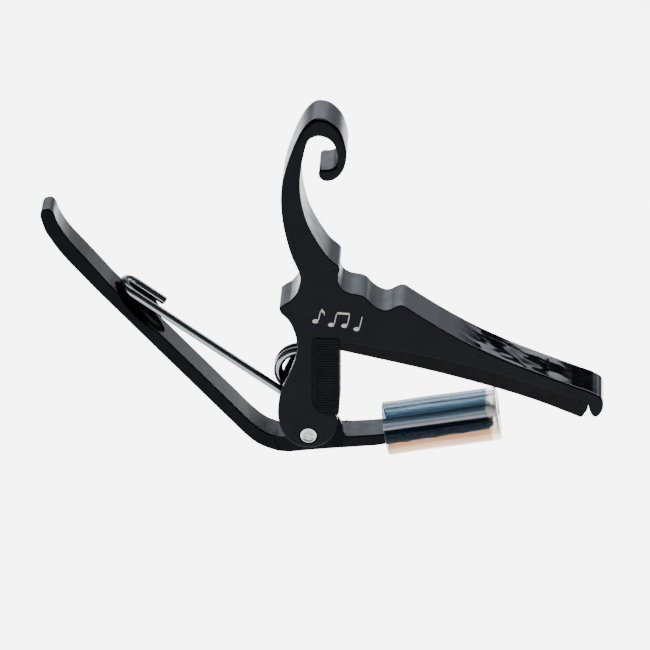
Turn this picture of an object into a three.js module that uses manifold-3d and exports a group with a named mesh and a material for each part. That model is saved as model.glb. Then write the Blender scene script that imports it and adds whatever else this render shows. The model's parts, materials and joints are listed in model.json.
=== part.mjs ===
// A spring-lever guitar capo, in millimetres, +Z up.
//
// Every outline is drawn in a side view, (x, z), whose origin is the pivot pin's axis, and is then
// extruded across Y. At the end the whole capo is turned by STAND_ANGLE, so that it stands on the
// lever's elbow and on the vinyl sleeve's lower end, with its bounding box centred on the Z axis.
import * as THREE from 'three';
import { mergeVertices } from 'three/addons/utils/BufferGeometryUtils.js';
import Module from 'manifold-3d';

const wasm = await Module();
wasm.setup();

// ---------------------------------------------------------------- driving dimensions
const FRAME_WIDTH = 10.3;          // one metal body, across the strings' direction
const FORK_GAP = 7.2;              // between the two plates of the forked leg
const LEVER_WIDTH = 7.5;
const HUB_WIDTH = 6.9;             // the lever where it runs between the plates
const HUB_RECESS_RADIUS = 7.55;    // round hollow that clears the plates, on both of the lever's sides

const PIN_HEAD_RADIUS = 1.8;
const PIN_SHAFT_RADIUS = 1.5;
const PIN_CLEARANCE = 0.2;

const WIRE_RADIUS = 0.9;
const COIL_CENTRE = { x: -1.85, z: 13.4 };
const COIL_RADIUS = 4.75;          // to the wire's middle
const COIL_PITCH = 1.9;
const COIL_END_ANGLE = 1080;       // degrees from +X, where the coil meets its fixed tail
const LEG_OFFSET = 5.66;           // from the coil's axis to the straight leg's middle line
const LEG_ANGLE = 144.3;           // degrees, the way the straight leg points
const LEG_LENGTH = 41.4;           // to the middle line of the hairpin's bend
const LEG_Y = -2.5;
const HAIRPIN_GAP = 5;             // between the middles of the hairpin's two wires
const HAIRPIN_RETURN = 7.4;        // straight length after the bend

const TAIL_Y = 2.35;
const TAIL_START = 13.75;          // heights of the spring's fixed tail, inside the frame
const TAIL_TOP = 26.5;
const TAIL_HOLE_RADIUS = 1.2;

const SHOE_WIDTH = 10.6;           // the ribbed side pad stands proud of both of the frame's sides
const SHOE_CHEEK = 0.9;
const SHOE_WALL = 1;
const SHOE = { left: 0.8, right: 6.25, low: 5.05, high: 23.15 };
const STRING_PAD_WIDTH = 9.6;
const SEAM = 0.1;                  // gap left between a soft part and the metal it sits on

const SLEEVE_RADIUS = 5.7;
const SLEEVE_BORE = 4.35;
const SLEEVE_START = { x: 16.25, z: -0.65 };
const SLEEVE_END = { x: 39.85, z: 3.6 };

const SCOOP = { x: -35.9, z: 27.9, along: 7.1, across: 4.6, deep: 1.5 };
const TIP_WIDTH = 6.4;             // the thumb handle narrows to this at its tip
const HANDLE_ANGLE = 132.6;        // degrees, the way the straight of the thumb handle points

const STAND_ANGLE = 5;             // degrees, brings the elbow and the sleeve's low end level

const rad = THREE.MathUtils.degToRad;

// ---------------------------------------------------------------- materials
const blackMetal = new THREE.MeshStandardMaterial({ color: 0x15161a, roughness: 0.38, metalness: 0.3 });
const brightWire = new THREE.MeshStandardMaterial({ color: 0xc9d2d6, roughness: 0.18, metalness: 1 });
const rivetSteel = new THREE.MeshStandardMaterial({ color: 0xb9bab8, roughness: 0.35, metalness: 1 });
const blackRubber = new THREE.MeshStandardMaterial({ color: 0x17161a, roughness: 0.75, metalness: 0 });
const clearVinyl = new THREE.MeshStandardMaterial({
  color: 0xd9e2e6, roughness: 0.08, metalness: 0, transparent: true, opacity: 0.45,
});

// ---------------------------------------------------------------- helpers
function toSolid(geometry) {
  const bare = geometry.index ? geometry.toNonIndexed() : geometry.clone();
  bare.deleteAttribute('normal');
  bare.deleteAttribute('uv');
  const welded = mergeVertices(bare, 1e-5);
  return new wasm.Manifold(new wasm.Mesh({
    numProp: 3,
    vertProperties: new Float32Array(welded.attributes.position.array),
    triVerts: new Uint32Array(welded.index.array),
  }));
}

function toGeometry(solid) {
  const mesh = solid.getMesh();
  const geometry = new THREE.BufferGeometry();
  geometry.setAttribute('position', new THREE.BufferAttribute(mesh.vertProperties, 3));
  geometry.setIndex(new THREE.BufferAttribute(mesh.triVerts, 1));
  geometry.computeVertexNormals();
  return geometry;
}

// A closed outline from stretches: ['line', [x, z]...] are straight, ['curve', [x, z]...] are smooth.
function outline(start, stretches) {
  const shape = new THREE.Shape();
  shape.moveTo(...start);
  for (const [kind, ...points] of stretches) {
    if (kind === 'curve') {
      shape.splineThru(points.map(([x, z]) => new THREE.Vector2(x, z)));
    } else {
      points.forEach(([x, z]) => shape.lineTo(x, z));
    }
  }
  return shape;
}

// A slab of the outline's shape, upright, centred on Y = 0.
function slab(shape, width, curveSegments = 4) {
  const geometry = new THREE.ExtrudeGeometry(shape, { depth: width, bevelEnabled: false, curveSegments });
  geometry.rotateX(Math.PI / 2);
  geometry.translate(0, width / 2, 0);
  return geometry;
}

// A cylinder across Y at (x, z).
function crossCylinder(radius, width, { x = 0, z = 0 } = {}, sides = 48) {
  return new THREE.CylinderGeometry(radius, radius, width, sides).translate(x, 0, z);
}

function part(name, geometry, material) {
  const mesh = new THREE.Mesh(geometry, material);
  mesh.name = name;
  return mesh;
}

// ---------------------------------------------------------------- frame
// Curl of the hook, over the top, down the back to the ear, round the fork, along the arm and back.
function frameOutline() {
  return outline([2.4, 62.15], [
    ['line', [2.3, 61.1]],
    ['curve', [2.8, 60.3], [3.9, 59.85], [5.6, 60.45], [7.1, 62.3], [7.75, 65.2], [7.4, 68.0], [6.4, 71.0],
      [4.5, 73.0], [2.3, 73.65], [0.6, 73.1], [-1.2, 70.9], [-3.1, 66.5], [-4.6, 61.6], [-5.35, 57.2],
      [-5.35, 52.6], [-4.7, 47.8], [-3.4, 42.6], [-1.75, 38.5], [-1.45, 36.4], [-2.2, 33.8], [-3.6, 31.8]],
    ['line', [-5.4, 30.5]],
    ['curve', [-5.8, 29.85], [-5.4, 28.9]],
    ['curve', [-3.8, 27.2], [-2.6, 24.4], [-2.0, 21.2], [-2.4, 18.3], [-3.8, 14.5], [-5.3, 10.9],
      [-6.0, 7.4], [-6.05, 4.1], [-5.2, 0.9], [-3.1, -1.6], [0.1, -2.5], [3.0, -1.7], [5.1, 0.3], [5.9, 3.0]],
    ['line', [5.9, 22.9], [15, 21.35]],
    ['curve', [23.4, 19.95], [31.8, 18.05], [40.2, 15.75], [49.3, 12.85]],
    ['line', [58.75, 9.1], [59.25, 7.1]],
    ['curve', [59.7, 6.15], [60.4, 5.75], [61.35, 6.4], [62.0, 8.2], [61.6, 10.2], [59.9, 11.35]],
    ['curve', [51.0, 14.8], [42.65, 18.15], [34.3, 22.15], [28.05, 25.75], [23.2, 28.9], [21.1, 30.35],
      [20.2, 30.95], [19.25, 31.15], [18.2, 30.75], [17.2, 30.15], [16.1, 29.9], [15.0, 30.2],
      [13.8, 30.95], [12.75, 31.9], [11.8, 32.95], [10.5, 33.45], [8.5, 33.85], [6.9, 34.9],
      [6.1, 36.6], [6.05, 38.3]],
    ['curve', [6.4, 39.3], [6.05, 40.3]],
    ['curve', [4.0, 42.2], [1.4, 46.25], [-0.65, 50.75], [-1.75, 55.7], [-1.85, 60.4], [-1.1, 65.5],
      [-0.2, 68.7], [1.0, 69.8], [2.5, 70.1], [4.4, 69.4], [5.75, 67.6], [6.3, 64.9], [5.7, 62.95],
      [4.3, 62.05]],
  ]);
}

// The fork's slot: open to the left and below, with a round room for the coil and a thin web on the
// right that closes the fork above the hub.
function slotOutline() {
  const room = COIL_RADIUS + WIRE_RADIUS + 0.6;
  const webLeft = 4.3;
  const shape = new THREE.Shape();
  shape.moveTo(-9, -6);
  shape.lineTo(9, -6);
  shape.lineTo(9, 3);
  shape.lineTo(6.2, 4.9);
  shape.lineTo(webLeft, 6.6);
  const from = Math.acos((webLeft - COIL_CENTRE.x) / room);
  shape.absarc(COIL_CENTRE.x, COIL_CENTRE.z, room, from, rad(135), false);
  shape.lineTo(-9, COIL_CENTRE.z + 12);
  return shape;
}

// The shoe's side view, with its lower left corner rounded; `grow` widens it and `right` ends it.
function shoeOutline(right, grow) {
  const left = SHOE.left - grow;
  const low = SHOE.low - grow;
  return outline([right, low], [
    ['line', [right, SHOE.high + grow], [left, SHOE.high + grow], [left, 8.4]],
    ['curve', [left + 0.4, 6.9], [left + 1.6, 5.7], [3.9, low + 0.1]],
  ]);
}

function makeFrame() {
  const shoeRoom = toSolid(slab(shoeOutline(SHOE.right + SEAM, SEAM), FRAME_WIDTH + 2));
  const core = toSolid(slab(
    shoeOutline(SHOE.right - SHOE_WALL - SEAM, 1),
    SHOE_WIDTH - 2 * SHOE_CHEEK - 2 * SEAM,
  ));
  const depth = TAIL_TOP - TAIL_START;
  const tailHole = new THREE.CylinderGeometry(TAIL_HOLE_RADIUS, TAIL_HOLE_RADIUS, depth, 20)
    .rotateX(Math.PI / 2)
    .translate(COIL_CENTRE.x + COIL_RADIUS, TAIL_Y, TAIL_START + depth / 2 + 0.3);
  return toGeometry(
    toSolid(slab(frameOutline(), FRAME_WIDTH))
      .subtract(shoeRoom.subtract(core))
      .subtract(toSolid(slab(slotOutline(), FORK_GAP, 12)))
      .subtract(toSolid(crossCylinder(PIN_HEAD_RADIUS + PIN_CLEARANCE, FRAME_WIDTH + 2)))
      .subtract(toSolid(tailHole)),
  );
}

// ---------------------------------------------------------------- lever
// Tip of the thumb handle, down its upper face, round the hub, out along the bar, and back below.
function leverOutline() {
  return outline([-55.8, 49.3], [
    ['curve', [-55.5, 50.5], [-54.8, 51.0], [-53.8, 51.05], [-53.0, 50.1], [-52.1, 47.7], [-50.0, 44.3],
      [-46.0, 39.5], [-41.5, 34.0]],
    ['line', [-15.1, 5.4]],
    ['curve', [-12.2, 2.3], [-9.3, -0.1], [-6.8, -1.1]],
    ['line', [-4.6, -1.1]],
    ['curve', [-4.5, 1.6], [-3.2, 4.0], [0, 5.2], [2.2, 5.3]],
    ['line', [3.9, 6.17]],
    ['curve', [5.16, 5.16], [6.32, 3.65], [7.05, 1.89], [7.3, 0.1]],
    ['line', [7.8, -0.8]],
    ['curve', [10.9, -0.58], [16.2, 0.0], [24.4, 1.45], [31.4, 2.8]],
    ['line', [38.0, 4.1]],
    ['curve', [39.0, 3.25], [38.4, 2.05]],
    ...barbs(),
    ['line', [17.6, -2.1]],
    ['curve', [10.0, -2.8], [0.3, -3.8], [-4.6, -4.33], [-7.9, -3.7], [-11.6, -1.75], [-16.6, 3.4]],
    ['line', [-41.6, 30.4]],
    ['curve', [-46.9, 36.1], [-51.1, 40.9], [-54.1, 45.3]],
  ]);
}

// Three small teeth under the bar, which keep the vinyl sleeve from sliding off.
function barbs() {
  const under = (x) => 2.05 + (x - 38.4) * 0.2;
  return [32.5, 26.6, 20.6].map((x) => [
    'line', [x + 0.8, under(x + 0.8)], [x + 0.6, under(x) - 0.22], [x - 0.8, under(x - 0.8)],
  ]);
}

// The round hollow in one side of the lever, which runs against a plate of the fork.
function hubRecess(side) {
  const depth = (LEVER_WIDTH - HUB_WIDTH) / 2;
  return toSolid(crossCylinder(HUB_RECESS_RADIUS, 2 * depth, {}, 72).translate(0, side * LEVER_WIDTH / 2, 0));
}

// The shallow oval scoop in the handle's upper face, under the spring's hairpin.
function scoop() {
  const oval = new THREE.SphereGeometry(1, 40, 24);
  oval.scale(SCOOP.along, SCOOP.across, SCOOP.deep);
  oval.rotateY(-rad(HANDLE_ANGLE - 180));
  oval.translate(SCOOP.x, 0, SCOOP.z);
  return toSolid(oval);
}

// The lever seen from above: parallel sides that draw in towards the handle's rounded tip.
function leverPlan() {
  const side = LEVER_WIDTH / 2 + 0.5;
  const tip = TIP_WIDTH / 2;
  const plan = new THREE.Shape();
  plan.moveTo(45, -side);
  plan.lineTo(45, side);
  plan.lineTo(-33, side);
  plan.lineTo(-43, LEVER_WIDTH / 2);
  plan.splineThru([[-50, tip + 0.3], [-54, tip], [-55.3, tip - 0.5], [-56, 0], [-55.3, 0.5 - tip],
    [-54, -tip], [-50, -tip - 0.3], [-43, -LEVER_WIDTH / 2]].map(([x, y]) => new THREE.Vector2(x, y)));
  plan.lineTo(-33, -side);
  const below = -10;
  return new THREE.ExtrudeGeometry(plan, { depth: 80, bevelEnabled: false, curveSegments: 3 })
    .translate(0, 0, below);
}

function makeLever() {
  return toGeometry(
    toSolid(slab(leverOutline(), LEVER_WIDTH))
      .intersect(toSolid(leverPlan()))
      .subtract(hubRecess(1))
      .subtract(hubRecess(-1))
      .subtract(toSolid(crossCylinder(PIN_SHAFT_RADIUS + PIN_CLEARANCE, LEVER_WIDTH + 2)))
      .subtract(scoop()),
  );
}

// ---------------------------------------------------------------- pivot pin
// A rivet, whose heads fill the plates' holes and whose thinner shaft carries the hub.
function makePivotPin() {
  const headFrom = HUB_WIDTH / 2 + PIN_CLEARANCE;
  const end = FRAME_WIDTH / 2 - 0.05;
  const half = [[PIN_SHAFT_RADIUS, headFrom], [PIN_HEAD_RADIUS, headFrom], [PIN_HEAD_RADIUS, end - 0.2],
    [PIN_HEAD_RADIUS - 0.2, end], [0, end]];
  const profile = [
    ...half.slice().reverse().map(([r, y]) => new THREE.Vector2(r, -y)),
    ...half.map(([r, y]) => new THREE.Vector2(r, y)),
  ];
  return new THREE.LatheGeometry(profile, 40);
}

// ---------------------------------------------------------------- torsion spring
// The wire's middle line: hairpin end, straight leg, then the coil, whose first half turn closes in
// from the leg's line to the coil's own radius.
function springPath() {
  const along = new THREE.Vector3(Math.cos(rad(LEG_ANGLE)), 0, Math.sin(rad(LEG_ANGLE)));
  const legStartAngle = LEG_ANGLE + 90;
  const legStart = coilPoint(legStartAngle);
  const bend = HAIRPIN_GAP / 2;
  const straight = LEG_LENGTH - bend;
  const across = new THREE.Vector3(0, bend, 0);
  const bendCentre = legStart.clone().addScaledVector(along, straight).add(across);
  const points = [];
  for (let back = HAIRPIN_RETURN; back > 0; back -= 2) {
    points.push(bendCentre.clone().add(across).addScaledVector(along, -back));
  }
  for (let turn = 90; turn >= -90; turn -= 22.5) {
    points.push(bendCentre.clone()
      .addScaledVector(along, bend * Math.cos(rad(turn)))
      .add(new THREE.Vector3(0, bend * Math.sin(rad(turn)), 0)));
  }
  for (let back = straight - 2; back > 1; back -= 3) {
    points.push(legStart.clone().addScaledVector(along, back));
  }
  for (let angle = legStartAngle; angle <= COIL_END_ANGLE; angle += 15) {
    points.push(coilPoint(angle));
  }
  points.push(coilPoint(COIL_END_ANGLE));
  const path = new THREE.CatmullRomCurve3(points, false, 'centripetal');
  path.arcLengthDivisions = 1200;
  return path;
}

function coilPoint(angle) {
  const turned = angle - (LEG_ANGLE + 90);
  const closing = THREE.MathUtils.smoothstep(turned, 0, 180);
  const radius = THREE.MathUtils.lerp(LEG_OFFSET, COIL_RADIUS, closing);
  return new THREE.Vector3(
    COIL_CENTRE.x + radius * Math.cos(rad(angle)),
    LEG_Y + COIL_PITCH * turned / 360,
    COIL_CENTRE.z + radius * Math.sin(rad(angle)),
  );
}

function makeSpring() {
  const section = new THREE.Shape();
  section.absarc(0, 0, WIRE_RADIUS, 0, 2 * Math.PI, false);
  return new THREE.ExtrudeGeometry(section, {
    steps: 140, curveSegments: 6, bevelEnabled: false, extrudePath: springPath(),
  });
}

// The same wire's fixed end, straight up from the coil into a drilled hole in the frame.
function makeSpringTail() {
  const length = TAIL_TOP - TAIL_START;
  return new THREE.CylinderGeometry(WIRE_RADIUS, WIRE_RADIUS, length, 16)
    .rotateX(Math.PI / 2)
    .translate(COIL_CENTRE.x + COIL_RADIUS, TAIL_Y, TAIL_START + length / 2);
}

// ---------------------------------------------------------------- soft parts
// The strip under the arm: flat against the metal, and arched below to follow a fretboard's crown.
function makeStringPad() {
  return slab(outline([6.4, 22.7], [
    ['line', [6.4, 20.35]],
    ['curve', [15, 18.42], [23.4, 16.5], [31.8, 14.35], [40.3, 11.9], [48.7, 9.07], [57.5, 5.45]],
    ['line', [58.9, 7.7], [58.6, 9.0], [49.25, 12.73]],
    ['curve', [40.17, 15.62], [31.78, 17.92], [23.38, 19.82], [15, 21.22]],
  ]), STRING_PAD_WIDTH);
}

// The ribbed shoe on the leg's inner edge: a wall and two cheeks round the metal.
function makeNeckSidePad() {
  const inside = slab(shoeOutline(SHOE.right - SHOE_WALL, 2), SHOE_WIDTH - 2 * SHOE_CHEEK);
  return toGeometry(
    toSolid(slab(shoeOutline(SHOE.right, 0), SHOE_WIDTH)).subtract(toSolid(inside)),
  );
}

// The vinyl tube that covers the bar behind the neck.
function makeClearSleeve() {
  const start = new THREE.Vector3(SLEEVE_START.x, 0, SLEEVE_START.z);
  const end = new THREE.Vector3(SLEEVE_END.x, 0, SLEEVE_END.z);
  const axis = end.clone().sub(start);
  const length = axis.length();
  const corners = [[SLEEVE_BORE, 0], [SLEEVE_RADIUS - 0.2, 0], [SLEEVE_RADIUS, 0.2],
    [SLEEVE_RADIUS, length - 0.2], [SLEEVE_RADIUS - 0.2, length], [SLEEVE_BORE, length], [SLEEVE_BORE, 0]];
  const geometry = new THREE.LatheGeometry(corners.map(([r, y]) => new THREE.Vector2(r, y)), 48);
  const latheAxis = new THREE.Vector3(0, 1, 0);
  geometry.applyQuaternion(new THREE.Quaternion().setFromUnitVectors(latheAxis, axis.normalize()));
  return geometry.translate(start.x, start.y, start.z);
}

// ---------------------------------------------------------------- assembly
const upright = new THREE.Group();
upright.rotation.y = -rad(STAND_ANGLE);
upright.add(
  part('frame', makeFrame(), blackMetal),
  part('lever', makeLever(), blackMetal),
  part('pivot_pin', makePivotPin(), rivetSteel),
  part('torsion_spring', makeSpring(), brightWire),
  part('spring_tail', makeSpringTail(), brightWire),
  part('string_pad', makeStringPad(), blackRubber),
  part('neck_side_pad', makeNeckSidePad(), blackRubber),
  part('clear_sleeve', makeClearSleeve(), clearVinyl),
);

const capo = new THREE.Group();
capo.add(upright);
capo.updateMatrixWorld(true);
const box = new THREE.Box3().setFromObject(capo, true);
upright.position.set(-(box.min.x + box.max.x) / 2, -(box.min.y + box.max.y) / 2, -box.min.z);

export default capo;
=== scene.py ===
"""The looks of a spring-lever guitar capo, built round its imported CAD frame.

Every piece is placed from the CAD nodes. Lengths in the shape helpers are millimetres in the capo's own
side view (x, z), whose origin is the pivot pin's axis. place() turns them into the row frame's metres.
"""
import json
import math

import bmesh
import bpy
import numpy as np
from mathutils import Matrix, Vector


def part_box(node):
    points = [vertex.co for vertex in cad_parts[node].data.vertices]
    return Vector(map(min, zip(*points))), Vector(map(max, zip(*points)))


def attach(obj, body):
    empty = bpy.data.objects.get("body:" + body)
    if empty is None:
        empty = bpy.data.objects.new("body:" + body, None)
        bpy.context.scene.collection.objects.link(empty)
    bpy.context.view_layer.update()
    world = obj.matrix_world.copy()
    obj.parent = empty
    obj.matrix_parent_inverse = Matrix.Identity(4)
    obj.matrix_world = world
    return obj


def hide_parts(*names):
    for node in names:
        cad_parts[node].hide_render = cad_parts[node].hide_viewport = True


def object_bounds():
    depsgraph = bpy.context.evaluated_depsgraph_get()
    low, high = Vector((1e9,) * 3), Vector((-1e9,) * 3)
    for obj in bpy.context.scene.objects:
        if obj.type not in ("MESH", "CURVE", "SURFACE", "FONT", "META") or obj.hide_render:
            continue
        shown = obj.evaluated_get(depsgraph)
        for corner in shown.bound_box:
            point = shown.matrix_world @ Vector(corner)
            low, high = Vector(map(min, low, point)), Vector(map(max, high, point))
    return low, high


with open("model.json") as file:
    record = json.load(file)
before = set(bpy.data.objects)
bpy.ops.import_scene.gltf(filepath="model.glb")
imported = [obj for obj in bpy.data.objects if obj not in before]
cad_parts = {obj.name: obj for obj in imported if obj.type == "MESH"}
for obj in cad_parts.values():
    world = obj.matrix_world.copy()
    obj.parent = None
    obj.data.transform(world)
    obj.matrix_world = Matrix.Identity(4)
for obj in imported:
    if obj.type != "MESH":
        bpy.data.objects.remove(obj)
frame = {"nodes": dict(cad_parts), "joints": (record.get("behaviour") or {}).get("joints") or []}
cad_low, cad_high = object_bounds()

MM = 0.001
STAND_ANGLE = math.radians(5)
PIN = sum(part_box("pivot_pin"), Vector()) / 2
COS, SIN = math.cos(STAND_ANGLE), math.sin(STAND_ANGLE)

FRAME_WIDTH = 10.3
FRAME_EDGE = 0.27
COAT = 0.22
FORK_GAP = 7.2
PIN_HOLE_RADIUS = 2.0
LEVER_WIDTH = 7.5
LEVER_EDGE = 0.3
HUB_RECESS_RADIUS = 7.55
HUB_WIDTH = 6.9
HUB_BORE_RADIUS = 1.7
SHOE_WIDTH = 10.6
STRING_PAD_WIDTH = 9.6
WIRE_RADIUS = 0.9
COIL_RADIUS = 4.75
# half the length of a cutter that goes right through
OUTSIDE = 8
GLOSS_START = (27, 34)
WAVES_END = (49, 54)
SLEEVE_START = (16.25, 0, -0.65)
SLEEVE_END = (39.85, 0, 3.6)
SLEEVE_ANGLE = math.atan2(SLEEVE_END[2] - SLEEVE_START[2], SLEEVE_END[0] - SLEEVE_START[0])
SLEEVE_LEAN = math.radians(-27)


# ---------------------------------------------------------------- places
def place(x, y, z):
    """A point of the capo's own side view, in the row frame's metres."""
    return PIN + Vector((x * COS - z * SIN, y, x * SIN + z * COS)) * MM


def unplace(point):
    """The inverse of place(), for a point in metres."""
    p = (point - PIN) / MM
    return Vector((p.x * COS + p.z * SIN, p.y, -p.x * SIN + p.z * COS))


coil_joint = next(j for j in frame["joints"] if j["name"] == "spring_wind")
COIL = unplace(Vector(coil_joint["pos_m"]))


# ---------------------------------------------------------------- outlines
def section(node, y):
    """The longest loop where a CAD node is cut by the plane at y, as (x, z) rows in millimetres."""
    bm = bmesh.new()
    bm.from_mesh(frame["nodes"][node].data)
    bmesh.ops.remove_doubles(bm, verts=bm.verts, dist=1e-7)
    everything = list(bm.verts) + list(bm.edges) + list(bm.faces)
    cut = bmesh.ops.bisect_plane(
        bm, geom=everything, dist=1e-8, plane_co=(0, y * MM, 0), plane_no=(0, 1, 0),
        clear_inner=True, clear_outer=True,
    )["geom_cut"]
    edges = {e for e in cut if isinstance(e, bmesh.types.BMEdge)}
    near = {}
    for e in edges:
        a, b = e.verts
        near.setdefault(a, []).append(b)
        near.setdefault(b, []).append(a)
    loops = []
    left = set(near)
    while left:
        start = min(left, key=lambda v: (v.co.x, v.co.z))
        loop = [start]
        left.discard(start)
        step = next((v for v in near[start] if v in left), None)
        while step is not None:
            loop.append(step)
            left.discard(step)
            step = next((v for v in near[step] if v in left), None)
        loops.append(np.array([unplace(v.co).xz for v in loop]))
    bm.free()
    longest = max(loops, key=lambda p: np.linalg.norm(p - np.roll(p, -1, 0), axis=1).sum())
    x, z = longest.T
    if np.sum(x * np.roll(z, -1) - np.roll(x, -1) * z) < 0:
        longest = longest[::-1]
    return longest


def tidied(points, least=0.02, straight=0.05):
    """The outline without doubled points and without points along a straight stretch."""
    kept = [p for i, p in enumerate(points) if np.linalg.norm(p - points[i - 1]) > least]
    out = []
    for i, p in enumerate(kept):
        a = p - kept[i - 1]
        b = kept[(i + 1) % len(kept)] - p
        turn = math.degrees(math.atan2(a[0] * b[1] - a[1] * b[0], a @ b))
        if abs(turn) > straight:
            out.append(p)
    return np.array(out)


def smoothed(points, spacing=0.4, corner=24, soften=5):
    """The outline with a smooth curve through its points. Its sharp corners are only slightly softened."""
    n = len(points)
    ahead = np.roll(points, -1, 0) - points
    back = np.roll(ahead, 1, 0)
    cross = back[:, 0] * ahead[:, 1] - back[:, 1] * ahead[:, 0]
    turn = np.degrees(np.arctan2(cross, (back * ahead).sum(1)))
    sharp = np.abs(turn) > corner
    length = np.linalg.norm(ahead, axis=1)
    out = []
    corners = []
    for i in range(n):
        j = (i + 1) % n
        p1, p2 = points[i], points[j]
        run = length[i]
        before, after = length[i - 1], length[j]
        chord = (p2 - p1) / run
        if sharp[i] or before > 4 * run or run > 5:
            start = chord
        else:
            start = ((p1 - points[i - 1]) / before * run + chord * before) / (run + before)
        if sharp[j] or after > 4 * run or run > 5:
            end = chord
        else:
            end = ((points[(j + 1) % n] - p2) / after * run + chord * after) / (run + after)
        if sharp[i]:
            corners.append(len(out))
        for t in np.arange(0, 1 - 1e-9, 1 / max(1, math.ceil(run / spacing))):
            h = 2 * t**3 - 3 * t**2
            out.append(
                (h + 1) * p1 + (t**3 - 2 * t**2 + t) * run * start - h * p2 + (t**3 - t**2) * run * end
            )
    out = np.array(out)
    for _ in range(soften):
        middle = (np.roll(out, -1, 0) + np.roll(out, 1, 0)) / 2
        for c in corners:
            for k in (-1, 0, 1):
                i = (c + k) % len(out)
                out[i] = (out[i] + middle[i]) / 2
    return out


def eased(value, low, high):
    """0 below low, 1 above high, and smooth between."""
    share = np.clip((value - low) / (high - low), 0, 1)
    return share * share * (3 - 2 * share)


def directions(points):
    """Unit vectors along the outline at each of its points."""
    along = np.roll(points, -1, 0) - np.roll(points, 1, 0)
    return along / np.maximum(np.linalg.norm(along, axis=1), 1e-9)[:, None]


def grown(points, amount):
    """The outline pushed outwards by amount(out_x, out_z, x, z), where out is each point's way outwards."""
    along = directions(points)
    out = np.stack([along[:, 1], -along[:, 0]], 1)
    push = amount(*out.T, *points.T)
    for _ in range(3):
        push = (2 * push + np.roll(push, 1) + np.roll(push, -1)) / 4
        out = out + np.roll(out, 1, 0) + np.roll(out, -1, 0)
        out = out / np.linalg.norm(out, axis=1)[:, None]
    return points + out * push[:, None]


def thickness(points):
    """How far the shape reaches inwards from each of its outline's points."""
    along = directions(points)
    inward = np.stack([-along[:, 1], along[:, 0]], 1)
    step = np.roll(points, -1, 0) - points
    found = np.full(len(points), 99.0)
    for i, (p, n) in enumerate(zip(points, inward)):
        cross = n[0] * step[:, 1] - n[1] * step[:, 0]
        cross = np.where(np.abs(cross) < 1e-12, 1e-12, cross)
        gap = points - p
        reach = (gap[:, 0] * step[:, 1] - gap[:, 1] * step[:, 0]) / cross
        share = (gap[:, 0] * n[1] - gap[:, 1] * n[0]) / cross
        hits = reach[(reach > 0.05) & (share >= 0) & (share <= 1)]
        if len(hits):
            found[i] = hits.min()
    for _ in range(4):
        found = np.minimum(found, np.minimum(np.roll(found, 1), np.roll(found, -1)))
    for _ in range(12):
        found = (found * 2 + np.roll(found, 1) + np.roll(found, -1)) / 4
    return found


def inset(points, reach, shares, step=0.04):
    """One ring for each share, moved inwards by that share of reach, a distance for each point."""
    rings = []
    now = points.copy()
    gone = 0.0
    stride = step / reach.max()
    for share in shares:
        while gone < share - 1e-9:
            move = min(stride, share - gone)
            along = directions(now)
            now = now + np.stack([-along[:, 1], along[:, 0]], 1) * (move * reach)[:, None]
            for _ in range(3):
                pull = (np.roll(now, -1, 0) + np.roll(now, 1, 0)) / 2 - now
                along = directions(now)
                now = now + along * (pull * along).sum(1)[:, None] * 0.5
            gone += move
        rings.append(now.copy())
    return rings


# ---------------------------------------------------------------- solids
def new_object(name, bm):
    mesh = bpy.data.meshes.new(name)
    bmesh.ops.recalc_face_normals(bm, faces=bm.faces)
    bm.to_mesh(mesh)
    bm.free()
    obj = bpy.data.objects.new(name, mesh)
    bpy.context.scene.collection.objects.link(obj)
    return obj


def loft(name, rings):
    """A closed mesh through rings of the same number of (x, y, z) points, capped at both ends."""
    bm = bmesh.new()
    rows = [[bm.verts.new(place(*p)) for p in ring] for ring in rings]
    for a, b in zip(rows, rows[1:]):
        for i in range(len(a)):
            j = (i + 1) % len(a)
            bm.faces.new((a[i], a[j], b[j], b[i]))
    bm.faces.new(rows[0])
    bm.faces.new(rows[-1])
    return new_object(name, bm)


def rounded_slab(name, points, width, edge, steps=7):
    """A slab of the outline's shape, centred on y = 0.

    Its edges are rounded by edge, one radius for all points or one for each, and less where it is thin.
    """
    reach = np.minimum(edge, thickness(points) * 0.4)
    angles = [math.pi / 2 * k / steps for k in range(steps + 1)]
    rings = inset(points, reach, [1 - math.cos(a) for a in angles])
    heights = [width / 2 - reach * (1 - math.sin(a)) for a in angles]
    rows = [[(x, -y, z) for (x, z), y in zip(r, h)] for r, h in zip(rings[::-1], heights[::-1])]
    rows += [[(x, y, z) for (x, z), y in zip(r, h)] for r, h in zip(rings, heights)]
    return loft(name, rows)


def prism(name, points, low, high):
    return loft(name, [[(x, y, z) for x, z in points] for y in (low, high)])


def full_turn(steps):
    return np.arange(steps) * 2 * math.pi / steps


def drum(name, radius, low, high):
    """A round bar along the pin's axis."""
    return prism(name, [(radius * math.cos(t), radius * math.sin(t)) for t in full_turn(96)], low, high)


def upright_drum(name, radius, x, y, low, high):
    turns = full_turn(32)
    rings = [[(x + radius * math.cos(t), y + radius * math.sin(t), z) for t in turns] for z in (low, high)]
    return loft(name, rings)


def cut(obj, cutters):
    """Takes the cutters' volumes out of obj."""
    for cutter in cutters:
        modifier = obj.modifiers.new("cut", "BOOLEAN")
        modifier.operation = "DIFFERENCE"
        modifier.solver = "MANIFOLD"
        modifier.object = cutter
    baked = bpy.data.meshes.new_from_object(obj.evaluated_get(bpy.context.evaluated_depsgraph_get()))
    obj.modifiers.clear()
    old = obj.data
    obj.data = baked
    baked.name = obj.name
    bpy.data.meshes.remove(old)
    for cutter in cutters:
        mesh = cutter.data
        bpy.data.objects.remove(cutter)
        bpy.data.meshes.remove(mesh)


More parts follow.
